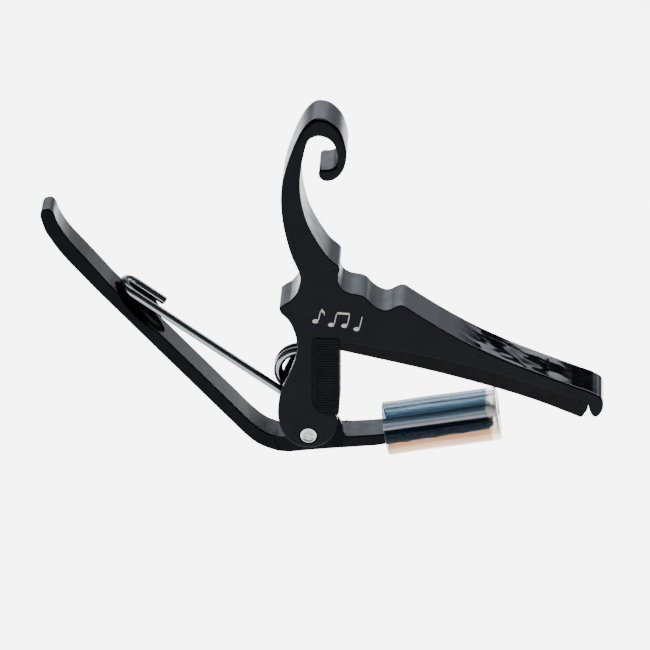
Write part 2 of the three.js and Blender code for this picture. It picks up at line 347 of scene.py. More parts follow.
def shade(obj, angle=32):
    """Smooth shading with crisp creases, and large flat faces kept flat."""
    obj.data.polygons.foreach_set("use_smooth", [True] * len(obj.data.polygons))
    obj.data.set_sharp_from_angle(angle=math.radians(angle))
    modifier = obj.modifiers.new("flat_faces", "WEIGHTED_NORMAL")
    modifier.mode = "FACE_AREA_WITH_ANGLE"
    modifier.weight = 90
    modifier.keep_sharp = True


def finish_piece(obj, body, nodes, materials, pick=None):
    """Gives obj its materials, face by face where pick(place, normal) says which, hangs it on its body's
    empty and hides the CAD nodes it stands for.
    """
    obj.data.materials.clear()
    for material in materials:
        obj.data.materials.append(material)
    if pick:
        for face in obj.data.polygons:
            face.material_index = materials.index(pick(unplace(face.center), face.normal))
    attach(obj, body)
    if nodes:
        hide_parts(*nodes)


# ---------------------------------------------------------------- material nodes
def new_material(name):
    material = bpy.data.materials.new(name)
    material.use_nodes = True
    tree = material.node_tree
    shader = tree.nodes["Principled BSDF"]
    coords = tree.nodes.new("ShaderNodeTexCoord").outputs["Object"]
    return material, tree, shader, coords


def noise(tree, coords, scale, detail=3.0, stretch=None):
    """A noise whose scale counts cells per metre."""
    if stretch:
        mapping = tree.nodes.new("ShaderNodeMapping")
        mapping.inputs["Scale"].default_value = stretch
        tree.links.new(coords, mapping.inputs["Vector"])
        coords = mapping.outputs["Vector"]
    node = tree.nodes.new("ShaderNodeTexNoise")
    node.inputs["Scale"].default_value = scale
    node.inputs["Detail"].default_value = detail
    tree.links.new(coords, node.inputs["Vector"])
    return node.outputs["Fac"]


def spread(tree, value, low, high, start=0.3, end=0.7):
    """low where value is start, high where it is end, and straight between."""
    node = tree.nodes.new("ShaderNodeMapRange")
    node.inputs["From Min"].default_value = start
    node.inputs["From Max"].default_value = end
    node.inputs["To Min"].default_value = low
    node.inputs["To Max"].default_value = high
    tree.links.new(value, node.inputs["Value"])
    return node.outputs["Result"]


def mix(tree, factor, a, b):
    """Colour a where factor is 0 and b where it is 1. Each is a tuple or a socket."""
    node = tree.nodes.new("ShaderNodeMix")
    node.data_type = "RGBA"
    tree.links.new(factor, node.inputs[0])
    for socket, value in ((node.inputs[6], a), (node.inputs[7], b)):
        if isinstance(value, tuple):
            socket.default_value = (*value, 1)
        else:
            tree.links.new(value, socket)
    return node.outputs[2]


def bump(tree, shader, *layers):
    """Height layers of (value, depth in metres), each on top of the one before."""
    last = None
    for value, depth in layers:
        node = tree.nodes.new("ShaderNodeBump")
        node.inputs["Strength"].default_value = 1
        node.inputs["Distance"].default_value = depth
        tree.links.new(value, node.inputs["Height"])
        if last:
            tree.links.new(last, node.inputs["Normal"])
        last = node.outputs["Normal"]
    tree.links.new(last, shader.inputs["Normal"])


def maths(tree, operation, a, b):
    node = tree.nodes.new("ShaderNodeMath")
    node.operation = operation
    tree.links.new(a, node.inputs[0])
    tree.links.new(b, node.inputs[1])
    return node.outputs[0]


def axes_of(tree, vector):
    split = tree.nodes.new("ShaderNodeSeparateXYZ")
    tree.links.new(vector, split.inputs[0])
    return split.outputs


COOL_GLINT = (0.87, 0.93, 1, 1)
FINE_PEEL = 4e-6


def coated(name, dark, light, rough, specular, peel=12e-6, ior=1.5):
    """Black paint over metal: cloudy tone, fine orange peel, and a few rubbed and dusty specks."""
    material, tree, shader, coords = new_material(name)
    clouds = spread(tree, noise(tree, coords, 140, 4), 0, 1)
    specks = spread(tree, noise(tree, coords, 2600, 2), 0, 1, 0.66, 0.78)
    tone = mix(tree, clouds, dark, light)
    tone = mix(tree, specks, tone, tuple(4 * c for c in light))
    tree.links.new(tone, shader.inputs["Base Color"])
    patchy = spread(tree, noise(tree, coords, 420, 5), rough - 0.05, rough + 0.06)
    tree.links.new(patchy, shader.inputs["Roughness"])
    shader.inputs["Specular IOR Level"].default_value = specular
    shader.inputs["Specular Tint"].default_value = COOL_GLINT
    shader.inputs["IOR"].default_value = ior
    bump(tree, shader, (noise(tree, coords, 1100, 3), peel))
    return material


def arm_gloss(name):
    """The arm's top: satin beside the leg, glossy further out, with slow waves in its middle part only."""
    material, tree, shader, coords = new_material(name)
    across = axes_of(tree, coords)["X"]
    start, end = (PIN.x + x * MM for x in GLOSS_START)
    along = spread(tree, across, 0, 1, start, end)
    clouds = spread(tree, noise(tree, coords, 140, 4), 0, 1)
    tone = mix(tree, clouds, (0.001, 0.001, 0.0014), (0.002, 0.002, 0.0028))
    tree.links.new(tone, shader.inputs["Base Color"])
    fine = spread(tree, noise(tree, coords, 420, 5), 0, 0.05)
    satin = mix(tree, along, (0.38, 0.38, 0.38), (0.07, 0.07, 0.07))
    tree.links.new(maths(tree, "ADD", fine, satin), shader.inputs["Roughness"])
    shader.inputs["Specular IOR Level"].default_value = 0.4
    shader.inputs["Specular Tint"].default_value = COOL_GLINT
    wave_start, wave_end = (PIN.x + x * MM for x in WAVES_END)
    calm = spread(tree, across, 1, 0, wave_start, wave_end)
    swell = maths(tree, "MULTIPLY", noise(tree, coords, 110, 1.5, (1, 1.3, 1)), along)
    waves = maths(tree, "MULTIPLY", swell, calm)
    bump(tree, shader, (noise(tree, coords, 1100, 3), FINE_PEEL), (waves, 0.0011))
    return material


def rubbery(name, dark, light, rough):
    material, tree, shader, coords = new_material(name)
    clouds = spread(tree, noise(tree, coords, 200, 5), 0, 1)
    tree.links.new(mix(tree, clouds, dark, light), shader.inputs["Base Color"])
    patchy = spread(tree, noise(tree, coords, 700, 4), rough - 0.08, rough + 0.08)
    tree.links.new(patchy, shader.inputs["Roughness"])
    shader.inputs["Specular IOR Level"].default_value = 0.03
    bump(tree, shader, (noise(tree, coords, 2400, 3), 0.00002))
    return material


def bright_metal(name, colour, rough, grain):
    """Metal with a cloudy tone, patchy polish and grain, its texture's depth in metres."""
    scale = 900
    material, tree, shader, coords = new_material(name)
    clouds = spread(tree, noise(tree, coords, scale / 3, 5), 0, 1)
    tree.links.new(mix(tree, clouds, tuple(0.86 * c for c in colour), colour), shader.inputs["Base Color"])
    shader.inputs["Metallic"].default_value = 1
    patchy = spread(tree, noise(tree, coords, scale, 4), rough - 0.04, rough + 0.08)
    tree.links.new(patchy, shader.inputs["Roughness"])
    bump(tree, shader, (noise(tree, coords, 2 * scale, 3), grain))
    return material


def ramp(tree, value, stops):
    """Values or colours between stops of (place, level)."""
    node = tree.nodes.new("ShaderNodeValToRGB")
    elements = node.color_ramp.elements
    while len(elements) < len(stops):
        elements.new(0.5)
    for element, (at, level) in zip(elements, stops):
        element.position = at
        element.color = (*level, 1) if isinstance(level, tuple) else (level, level, level, 1)
    tree.links.new(value, node.inputs[0])
    return node.outputs[0]


# stops by height across the sleeve, from 0 at the bottom to 1 at the top: painted reflections in the pale
# bands and streaks above, painted shade in the deep blue band, and warm underneath
SLEEVE_SHADE_AND_REFLECTION_BANDS = (
    (0.0, (0.28, 0.17, 0.09)), (0.11, (0.28, 0.17, 0.09)), (0.13, (0.46, 0.31, 0.19)),
    (0.235, (0.44, 0.29, 0.17)), (0.25, (0.05, 0.09, 0.16)), (0.44, (0.05, 0.1, 0.17)),
    (0.47, (0.44, 0.38, 0.35)), (0.5, (0.28, 0.31, 0.34)), (0.525, (0.1, 0.19, 0.27)),
    (0.55, (0.22, 0.29, 0.34)), (0.58, (0.38, 0.35, 0.34)), (0.605, (0.12, 0.2, 0.26)),
    (0.66, (0.09, 0.14, 0.18)), (0.8, (0.08, 0.115, 0.14)), (0.83, (0.3, 0.37, 0.41)),
    (0.9, (0.34, 0.4, 0.44)), (0.925, (0.06, 0.09, 0.11)), (1.0, (0.05, 0.08, 0.1)),
)
SLEEVE_CLEARNESS = (
    (0.0, 0.9), (0.23, 0.9), (0.26, 0.985), (0.44, 0.985), (0.47, 0.4), (0.6, 0.5), (0.7, 0.85), (0.82, 1.0),
)
# stops along the sleeve's last stretch, whose start and end are in metres from the sleeve's own start; over
# it painted light lightens the colour towards the open end
TIP_STRETCH = (0.0221, 0.0245)
TIP_PAINTED_LIGHT_SHARE = ((0.0, 0.0), (0.12, 1.0), (0.62, 0.95), (0.78, 0.3))
# painted light near the sleeve's open end, mixed into its colour
TIP_PAINTED_LIGHT = (0.57, 0.53, 0.46)
SLEEVE_RADIUS = 0.0057


def vinyl(name):
    """Clear soft vinyl with cloudy lengthwise streaks: blue above, deep blue in front, warm underneath. Its
    bands are painted by height across the tube: painted reflections in the pale bands and streaks, painted
    shade in the deep blue band.
    """
    material, tree, shader, coords = new_material(name)
    mapping = tree.nodes.new("ShaderNodeMapping")
    mapping.vector_type = "TEXTURE"
    mapping.inputs["Location"].default_value = place(*SLEEVE_START)
    mapping.inputs["Rotation"].default_value = (SLEEVE_LEAN, -STAND_ANGLE - SLEEVE_ANGLE, 0)
    tree.links.new(coords, mapping.inputs["Vector"])
    local = mapping.outputs["Vector"]
    axis = axes_of(tree, local)
    wander = spread(tree, noise(tree, local, 500, 2, (0.06, 1, 1)), -0.0003, 0.0003)
    height = maths(tree, "ADD", axis["Z"], wander)
    level = spread(tree, height, 0, 1, -SLEEVE_RADIUS, SLEEVE_RADIUS)
    reach = maths(tree, "ADD", axis["X"], wander)
    tip = ramp(tree, spread(tree, reach, 0, 1, *TIP_STRETCH), TIP_PAINTED_LIGHT_SHARE)
    # colour from the painted reflection and shade bands, lightened near the open end by painted light
    tree.links.new(mix(tree, tip, ramp(tree, level, SLEEVE_SHADE_AND_REFLECTION_BANDS), TIP_PAINTED_LIGHT), shader.inputs["Base Color"])
    tree.links.new(ramp(tree, level, SLEEVE_CLEARNESS), shader.inputs["Transmission Weight"])
    shader.inputs["IOR"].default_value = 1.45
    shader.inputs["Specular Tint"].default_value = (0.06, 0.08, 0.1, 1)
    shader.inputs["Roughness"].default_value = 0.04
    bump(tree, shader, (noise(tree, local, 190, 2, (0.2, 1, 1)), 0.00012))
    return material


BLACK = ((0.0012, 0.0012, 0.0018), (0.0022, 0.0022, 0.0032))
SIDE_PAINT = coated("side_paint", *BLACK, 0.42, 0.03)
EDGE_PAINT = coated("edge_paint", *BLACK, 0.42, 0.5)
# painted shade: a darker, weakly reflecting copy of the black paint for the upward-facing rounded rims,
# painting a dark line along the top edges
RIM_SHADE_PAINT = coated("rim_shade_paint", (0.0006, 0.0006, 0.0009), (0.001, 0.001, 0.0014), 0.16, 0.08, FINE_PEEL)
GLOSS_PAINT = arm_gloss("gloss_paint")
LEVER_PAINT = coated("lever_paint", *BLACK, 0.36, 0.015)
LEVER_TOP_PAINT = coated("lever_top_paint", *BLACK, 0.4, 0.28)
# painted shade: a darker, nearly unreflecting copy of the black paint for the lever's hollow, the hub's near
# cheek and the bank
HOLLOW_SHADE_PAINT = coated("hollow_shade_paint", (0.0004, 0.0004, 0.0005), (0.0008, 0.0008, 0.001), 0.2, 0.5, ior=1.07)
PAD_RUBBER = rubbery("pad_rubber", (0.0008, 0.0007, 0.0012), (0.0018, 0.0017, 0.0026), 0.55)
SHOE_RUBBER = rubbery("shoe_rubber", (0.001, 0.001, 0.0015), (0.002, 0.0021, 0.0031), 0.7)
ZINC_WIRE = bright_metal("zinc_wire", (0.1, 0.115, 0.12), 0.16, FINE_PEEL)
RIVET_STEEL = bright_metal("rivet_steel", (0.26, 0.26, 0.26), 0.3, 8e-6)
PEENED_STEEL = bright_metal("peened_steel", (0.2, 0.2, 0.2), 0.3, 0.0004)
SILVER_INK = bright_metal("silver_ink", (0.16, 0.15, 0.135), 0.5, 6e-6)
CLEAR_VINYL = vinyl("clear_vinyl")


# ---------------------------------------------------------------- frame
FAR_PLATE_Y = 4.0
SHOE_SIDE_Y = 5.1
TAIL_RADIUS = 1.2
TAIL_Y = 2.35
TAIL_LOW, TAIL_HIGH = 14.05, 26.8
FLAT_SIDE = 0.93


def slot_points():
    """The fork's slot seen from the side: open to the left and below, round above for the coil."""
    room = COIL_RADIUS + WIRE_RADIUS + 0.6
    web_left = 4.3
    start = math.acos((web_left - COIL.x) / room)
    turns = np.linspace(start, math.radians(135), 40)
    arc = [(COIL.x + room * math.cos(t), COIL.z + room * math.sin(t)) for t in turns]
    return [(-9, -6), (9, -6), (9, 3), (6.2, 4.9), (web_left, 6.6), *arc, (-9, COIL.z + 12)]


def frame_edges(points):
    """The edge radius at each of the frame's outline points: wider on the hook's top and the arm's end."""
    along = directions(points)
    x, z = points.T
    upward = eased(-along[:, 0], 0.0, 0.35)
    return FRAME_EDGE + upward * (0.5 * eased(z, 56, 68) + 0.2 * eased(x, 24, 40))


def frame_coat(out_x, out_z, x, z):
    """The coat's thickness: next to nothing on top, and thickest on the lower edges, where it has run."""
    coat = COAT * (1 - eased(out_z, 0.1, 0.7)) + 0.12 * eased(-out_z, 0.3, 1)
    side = 0.1 * eased(-out_x, 0.4, 1) * eased(34 - z, 0, 4)
    return (coat + side) * (1 - 0.9 * eased(x, 50, 58))


def build_frame():
    points = grown(smoothed(tidied(section("frame", FAR_PLATE_Y))), frame_coat)
    body = rounded_slab("frame_body", points, FRAME_WIDTH, frame_edges(points))
    shoe = smoothed(tidied(section("neck_side_pad", SHOE_SIDE_Y)), 0.5)
    shoe = grown(shoe, lambda out_x, out_z, x, z: 0.1 + 0.4 * eased(out_x, 0.3, 0.8))
    cheek = SHOE_WIDTH / 2 - 1.0
    cut(body, [
        prism("cut_slot", slot_points(), -FORK_GAP / 2, FORK_GAP / 2),
        prism("cut_near_cheek", shoe, -OUTSIDE, -cheek),
        prism("cut_far_cheek", shoe, cheek, OUTSIDE),
        drum("cut_pin", PIN_HOLE_RADIUS, -OUTSIDE, OUTSIDE),
        upright_drum("cut_tail", TAIL_RADIUS, COIL.x + COIL_RADIUS, TAIL_Y, TAIL_LOW, TAIL_HIGH),
    ])
    shade(body)

    def pick(at, normal):
        gloss = at.x > GLOSS_START[0] and normal.z > 0.3
        if abs(normal.y) > FLAT_SIDE:
            return SIDE_PAINT
        # upward-facing rounded rims take the darker rim paint: painted shade along the top edges
        if abs(normal.y) > (0.55 if gloss else 0.2):
            return RIM_SHADE_PAINT if normal.z > 0.15 else SIDE_PAINT
        return GLOSS_PAINT if gloss else EDGE_PAINT

    paints = [EDGE_PAINT, SIDE_PAINT, GLOSS_PAINT, RIM_SHADE_PAINT]
    finish_piece(body, "frame", ["frame"], paints, pick)


# ---------------------------------------------------------------- lever
LEVER_MIDDLE_Y = 0.3
HANDLE_ANGLE = math.radians(132.6)
HANDLE_UP = Vector((math.sin(HANDLE_ANGLE), -math.cos(HANDLE_ANGLE)))
SCOOP = {"x": -35.6, "y": -0.8, "z": 27.55, "along": 7.6, "across": 4.35, "deep": 1.5}
SCOOP_CENTRE = Vector((SCOOP["x"], SCOOP["z"]))
SCOOP_REACH = 7.8
BANK = {"start": -4.6, "end": 5.2, "near": 4.1, "far": 4.9, "high": 1.75, "foot": -0.9}
# right of the fork the hub drops to the bar's top, and only a thin cheek stands up on its near side
HUB_STEP = ((4.9, -0.55), (8.6, -0.87), (8.8, 9), (4.9, 9))
HUB_CHEEK = -2.9


def handle_taper(x):
    """Share of the lever's full width at x: the handle draws in towards a tip with softened corners."""
    narrowing = np.interp(x, (-54, -50, -43), (0.853, 0.933, 1))
    return float(narrowing * (1 - 0.2 * eased(-x, 54.9, 56.3)))


def scoop_cutter():
    bm = bmesh.new()
    bmesh.ops.create_uvsphere(bm, u_segments=96, v_segments=64, radius=1)
    turn = Matrix.Rotation(-(HANDLE_ANGLE - math.pi), 3, "Y")
    for v in bm.verts:
        p = turn @ Vector((v.co.x * SCOOP["along"], v.co.y * SCOOP["across"], v.co.z * SCOOP["deep"]))
        v.co = place(SCOOP["x"] + p.x, SCOOP["y"] + p.y, SCOOP["z"] + p.z)
    return new_object("cut_scoop", bm)


def lever_coat(out_x, out_z, x, z):
    """The lever's coat, thick along its underside and round the handle's tip, and none inside the sleeve."""
    under = 0.46 * eased(-out_z, 0.0, 0.6) * (1 - 0.35 * eased(-x, 42, 50))
    return (under + 0.12 * eased(-out_x, 0.5, 1) * eased(-x, 45, 52)) * (1 - eased(x, 14, 18))


def build_lever():
    points = section("lever", LEVER_MIDDLE_Y)
    clear_of_scoop = np.linalg.norm(points - np.array(SCOOP_CENTRE), axis=1) > SCOOP_REACH + 0.6
    points = grown(smoothed(tidied(points[clear_of_scoop]), 0.35, soften=3), lever_coat)
    body = rounded_slab("lever_body", points, LEVER_WIDTH, LEVER_EDGE, 5)
    for v in body.data.vertices:
        p = unplace(v.co)
        v.co = place(p.x, p.y * handle_taper(p.x), p.z)
    cut(body, [
        drum("cut_near_hub", HUB_RECESS_RADIUS, -OUTSIDE, -HUB_WIDTH / 2),
        drum("cut_far_hub", HUB_RECESS_RADIUS, HUB_WIDTH / 2, OUTSIDE),
        drum("cut_shaft", HUB_BORE_RADIUS, -OUTSIDE, OUTSIDE),
        prism("cut_hub_step", HUB_STEP, HUB_CHEEK, HUB_WIDTH / 2 + 0.1),
        scoop_cutter(),
    ])
    shade(body)

    def pick(at, normal):
        offset = at.xz - SCOOP_CENTRE
        above = offset.dot(HANDLE_UP)
        by_scoop = offset.length < SCOOP_REACH
        # the hub's near cheek takes the dark hollow paint: painted shade beside the fork
        if at.y < HUB_CHEEK + 0.01 and at.xz.length < HUB_RECESS_RADIUS and at.z > HUB_STEP[0][1]:
            return HOLLOW_SHADE_PAINT
        if abs(normal.y) > FLAT_SIDE:
            return LEVER_PAINT
        # upward-facing rounded rims take the darker rim paint: painted shade along the top edges
        if abs(normal.y) > 0.2 and not by_scoop:
            return RIM_SHADE_PAINT if normal.z > 0.15 else LEVER_PAINT
        # the hollow takes the dark hollow paint: painted shade
        if by_scoop and normal.z > -0.2 and -1.8 < above < -0.02:
            return HOLLOW_SHADE_PAINT
        return LEVER_TOP_PAINT

    paints = [LEVER_TOP_PAINT, LEVER_PAINT, HOLLOW_SHADE_PAINT, RIM_SHADE_PAINT]
    finish_piece(body, "lever", ["lever"], paints, pick)


def build_bank():
    """The hollow's raised far wall, which keeps the hairpin from sliding off sideways."""
    ahead = Vector((math.cos(HANDLE_ANGLE), math.sin(HANDLE_ANGLE)))
    middle = (BANK["start"] + BANK["end"]) / 2
    reach = (BANK["end"] - BANK["start"]) / 2
    near, far, bottom = BANK["near"], BANK["far"], BANK["foot"]
    rings = []
    for step in np.linspace(-1, 1, 25):
        top = BANK["high"] * max(0.0, 1 - abs(step) ** 3) ** 0.5 - 0.1
        profile = (
            (near, bottom), (near, top - 0.25), (near + 0.15, top),
            (far - 0.15, top), (far, top - 0.25), (far, bottom),
        )
        foot = SCOOP_CENTRE - ahead * (middle + reach * step)
        rings.append([(foot.x + HANDLE_UP.x * h, y, foot.y + HANDLE_UP.y * h) for y, h in profile])
    bank = loft("lever_bank", rings)
    shade(bank, 50)
    # the bank takes the dark hollow paint: painted shade between the hairpin's legs
    finish_piece(bank, "lever", [], [HOLLOW_SHADE_PAINT])


# ---------------------------------------------------------------- soft parts
def build_string_pad():
    points = smoothed(tidied(section("string_pad", 0)), 0.3, soften=2)
    points = grown(points, lambda out_x, out_z, x, z: 0.08 * eased(-out_z, 0, 0.7))
    pad = rounded_slab("string_pad_soft", points, STRING_PAD_WIDTH, 0.1, 3)
    shade(pad)
    finish_piece(pad, "frame", ["string_pad"], [PAD_RUBBER])


RIB_PITCH = 0.575
RIB_DEPTH = 0.06


def comb(name, base, reach, low, high):
    """A cutter with one long tooth for each groove. base and reach give the two ends of each tooth."""
    count = round((high - low) / RIB_PITCH)
    profile = []
    for i in range(count):
        z = low + i * RIB_PITCH
        profile += [(0.02, z), (-RIB_DEPTH, z + RIB_PITCH * 0.35)]
        profile += [(-RIB_DEPTH, z + RIB_PITCH * 0.55), (0.02, z + RIB_PITCH * 0.9)]
    profile += [(1.0, low + count * RIB_PITCH), (1.0, low)]
    bm = bmesh.new()
    rows = [[bm.verts.new(place(*end(out, z))) for out, z in profile] for end in (base, reach)]
    for i in range(len(profile)):
        j = (i + 1) % len(profile)
        bm.faces.new((rows[0][i], rows[0][j], rows[1][j], rows[1][i]))
    bm.faces.new(rows[0])
    bm.faces.new(rows[1])
    return new_object(name, bm)


def build_shoe():
    whole = section("neck_side_pad", SHOE_SIDE_Y)
    left, low = whole.min(0)
    right, high = whole.max(0) + (0.25, 0)
    points = grown(smoothed(tidied(whole), 0.35), lambda out_x, out_z, x, z: 0.25 * eased(out_x, 0.3, 0.8))
    shoe = rounded_slab("shoe_ribbed", points, SHOE_WIDTH, 0.15, 3)
    half = SHOE_WIDTH / 2
    core = [(right - 1, low - 2), (right - 1, high + 2), (left - 2, high + 2), (left - 2, low - 2)]
    start, end = left + 0.75, right + 2
    near, far = -half - 2, half + 2
    ribs = (low + 0.5, high - 0.45)
    cut(shoe, [
        prism("cut_core", core, -half + 0.9, half - 0.9),
        comb("cut_near_ribs", lambda o, z: (start, -half - o, z), lambda o, z: (end, -half - o, z), *ribs),
        comb("cut_far_ribs", lambda o, z: (start, half + o, z), lambda o, z: (end, half + o, z), *ribs),
        comb("cut_edge_ribs", lambda o, z: (right + o, near, z), lambda o, z: (right + o, far, z), *ribs),
    ])
    shade(shoe, 20)
    finish_piece(shoe, "frame", ["neck_side_pad"], [SHOE_RUBBER])


def build_sleeve():
    """A thick clear tube, cut slightly askew at its far end, that follows the CAD sleeve's own axis."""
    points = [unplace(v.co) for v in frame["nodes"]["clear_sleeve"].data.vertices]
    start = Vector(SLEEVE_START)
    axis = (Vector(SLEEVE_END) - start).normalized()
    along = [(p - start).dot(axis) for p in points]
    length = max(along)
    outer = max((p - start - axis * s).length for p, s in zip(points, along))
    bore = min((p - start - axis * s).length for p, s in zip(points, along))
    rise = Vector((0, 1, 0)).cross(axis) * -1
    steps = 14
    shares = [k / steps for k in range(1, steps)]
    profile = [(bore, 0), (bore + 0.1, 0.0), (outer - 0.25, 0), (outer - 0.07, 0.07), (outer, 0.25)]
    profile += [(outer, length * share) for share in shares]
    profile += [(outer, length - 0.25), (outer - 0.07, length - 0.07), (outer - 0.25, length)]
    profile += [(bore, length)] + [(bore, length * share) for share in reversed(shares)]
    bm = bmesh.new()
    rings = []
    for t in full_turn(96):
        out = Vector((0, math.sin(t), 0)) + rise * math.cos(t)
        ring = []
        for radius, s in profile:
            wobble = 1 - 0.006 * (1 + math.sin(3 * t + 0.35 * s)) * min(1, s / 4)
            lift = math.cos(t - SLEEVE_LEAN) if s > length - 0.5 else -1
            flare = 0.35 * float(eased(lift, -0.9, 0.1))
            ring.append(bm.verts.new(place(*(start + axis * (s + flare) + out * radius * wobble))))
        rings.append(ring)
    for a, b in zip(rings, rings[1:] + rings[:1]):
        for i in range(len(profile)):
            j = (i + 1) % len(profile)
            bm.faces.new((a[i], a[j], b[j], b[i]))
    sleeve = new_object("sleeve_clear", bm)
    shade(sleeve, 50)
    finish_piece(sleeve, "lever", ["clear_sleeve"], [CLEAR_VINYL])


# ---------------------------------------------------------------- spring and rivet
LEG_OFFSET = 5.66
LEG_ANGLE = math.radians(144.3)
LEG_LENGTH = 41.4
LEG_Y = -2.5
COIL_PITCH = 1.9
COIL_END = math.radians(1080)
HAIRPIN_GAP = 5.6
HAIRPIN_RETURN = 7.4


def coil_point(angle):
    """A point of the coil, which starts at the long leg's foot and tightens over its first half turn."""
    turned = angle - (LEG_ANGLE + math.pi / 2)
    s = min(1, max(0, turned / math.pi))
    radius = LEG_OFFSET + (COIL_RADIUS - LEG_OFFSET) * s * s * (3 - 2 * s)
    return Vector((
        COIL.x + radius * math.cos(angle),
        LEG_Y + COIL_PITCH * turned / (2 * math.pi),
        COIL.z + radius * math.sin(angle),
    ))


def spring_line():
    """The wire's middle line, from the hairpin's free end to the coil's fixed end."""
    along = Vector((math.cos(LEG_ANGLE), 0, math.sin(LEG_ANGLE)))
    first = LEG_ANGLE + math.pi / 2
    foot = coil_point(first)
    bend = HAIRPIN_GAP / 2
    straight = LEG_LENGTH - bend
    centre = foot + along * straight + Vector((0, bend, 0))
    line = [centre + Vector((0, bend, 0)) - along * s for s in (HAIRPIN_RETURN, HAIRPIN_RETURN / 2)]
    for k in range(25):
        t = math.pi / 2 - math.pi * k / 24
        line.append(centre + along * bend * math.cos(t) + Vector((0, bend * math.sin(t), 0)))
    line += [foot + along * straight * (1 - k / 8) for k in range(1, 8)]
    steps = 150
    line += [coil_point(first + (COIL_END - first) * k / steps) for k in range(steps + 1)]
    return line


def build_spring():
    """The wire, swept along its middle line, with a small bevel at the hairpin's free end."""
    line = spring_line()
    bm = bmesh.new()
    bevel = 0.12
    sides = 28
    across = Vector((0, 1, 0))
    rows = []
    for i, p in enumerate(line):
        forward = (line[min(i + 1, len(line) - 1)] - line[max(i - 1, 0)]).normalized()
        across = (across - forward * across.dot(forward)).normalized()
        if i == 0:
            across = Vector((0, 1, 0))
        other = forward.cross(across)
        radii = [(WIRE_RADIUS, 0)]
        if i == 0:
            radii = [(WIRE_RADIUS - bevel, 0), (WIRE_RADIUS, bevel)]
        for radius, shift in radii:
            ring = []
            for t in full_turn(sides):
                ring.append(p + forward * shift + (across * math.cos(t) + other * math.sin(t)) * radius)
            rows.append([bm.verts.new(place(*q)) for q in ring])
    for a, b in zip(rows, rows[1:]):
        for k in range(sides):
            j = (k + 1) % sides
            bm.faces.new((a[k], a[j], b[j], b[k]))
    bm.faces.new(rows[0])
    bm.faces.new(rows[-1])
    wire = new_object("spring_wire", bm)
    shade(wire, 40)
    finish_piece(wire, "spring", ["torsion_spring"], [ZINC_WIRE])


PEENED_RADIUS = 1.25


def build_rivet():
    """A rivet head with a smooth rim round a rough, peened middle."""
    half = FRAME_WIDTH / 2 - 0.05
    inner = 3.65
    profile = [
        (0.001, half - 0.14), (0.75, half - 0.12), (1.2, half - 0.2), (1.32, half - 0.16),
        (1.42, half - 0.03), (1.56, half), (1.68, half - 0.03), (1.78, half - 0.16),
        (1.8, half - 0.3), (1.8, inner), (1.5, inner),
    ]
    profile += [(r, -y) for r, y in reversed(profile)]
    bm = bmesh.new()
    rings = []
    for t in full_turn(96):
        rings.append([bm.verts.new(place(r * math.cos(t), -y, r * math.sin(t))) for r, y in profile])
    for a, b in zip(rings, rings[1:] + rings[:1]):
        for i in range(len(profile) - 1):
            bm.faces.new((a[i], a[i + 1], b[i + 1], b[i]))
    bm.faces.new([ring[0] for ring in rings])
    bm.faces.new([ring[-1] for ring in rings])
    rivet = new_object("rivet_head", bm)
    shade(rivet, 50)

    def pick(at, normal):
        return PEENED_STEEL if at.xz.length < PEENED_RADIUS else RIVET_STEEL

    finish_piece(rivet, "frame", ["pivot_pin"], [RIVET_STEEL, PEENED_STEEL], pick)


MOTIF_CENTRE = (5.6, 27.5)
MOTIF_SIZE = 0.85
MOTIF_TILT = math.radians(-12)
MOTIF_LIFT = 0.015


def build_motif():
    """Three plain music notes in silver ink on the near side, in place of any lettering."""
    bm = bmesh.new()
    tilt = Matrix.Rotation(MOTIF_TILT, 2) * MOTIF_SIZE
    lean = Matrix.Rotation(math.radians(20), 2)

    def patch(points):
        spots = [Vector(MOTIF_CENTRE) + tilt @ Vector(p) for p in points]
        bm.faces.new([bm.verts.new(place(p.x, -FRAME_WIDTH / 2 - MOTIF_LIFT, p.y)) for p in spots])

    def head(x, z):
        oval = [(0.78 * math.cos(t), 0.56 * math.sin(t)) for t in full_turn(24)]
        patch([Vector((x, z)) + lean @ Vector(p) for p in oval])

    def stem(x, z, tall):
        patch([(x + 0.52, z), (x + 0.74, z), (x + 0.74, z + tall), (x + 0.52, z + tall)])

    for x, z, tall in ((-4.6, -1.4, 3.8), (-0.6, -1.5, 3.7), (2.6, -1.0, 3.7), (5.7, -1.2, 3.6)):
        head(x, z)
        stem(x, z, tall)
    flag = [(-4.08, 2.4), (-3.86, 2.4), (-2.9, 1.5), (-2.7, 0.5), (-3.1, 1.2), (-3.86, 1.55), (-4.08, 1.7)]
    beam = [(-0.08, 1.7), (3.34, 2.2), (3.34, 2.75), (-0.08, 2.25)]
    patch(flag)
    patch(beam)
    motif = new_object("side_motif", bm)
    for face in motif.data.polygons:
        if face.normal.y > 0:
            face.flip()
    finish_piece(motif, "frame", [], [SILVER_INK])


build_frame()
build_lever()
build_bank()
build_string_pad()
build_shoe()
build_sleeve()
build_spring()
build_rivet()
build_motif()
tail = frame["nodes"]["spring_tail"]
tail.data.materials.clear()
tail.data.materials.append(ZINC_WIRE)


# ---------------------------------------------------------------- floor, light and camera
# the capo hangs above the floor, in metres, so that the opened bar and its sleeve stay clear of it
FLOOR_DROP = 0.03
# the floor glows evenly under the capo, out to the first radius, and falls to a dim studio at the second
GLOW, DIM = 6, 0.25
GLOW_RADIUS, DIM_RADIUS = 0.3, 0.56
CARD_PLACE = (21, 21.5, 1.0)
WINDOW_PLACE = (-6, 28, 1)
WINDOW_RIM, WINDOW_CORE = math.radians(36), math.radians(14)
CAMERA_AZIMUTH, CAMERA_ELEVATION = math.radians(2.37), math.radians(27)
CAMERA_DISTANCE = 1249.5
CAMERA_TARGET = Vector((3.3, 0, 23.678))
SENSOR = 36
LENS_PER_SENSOR = 119 / 13


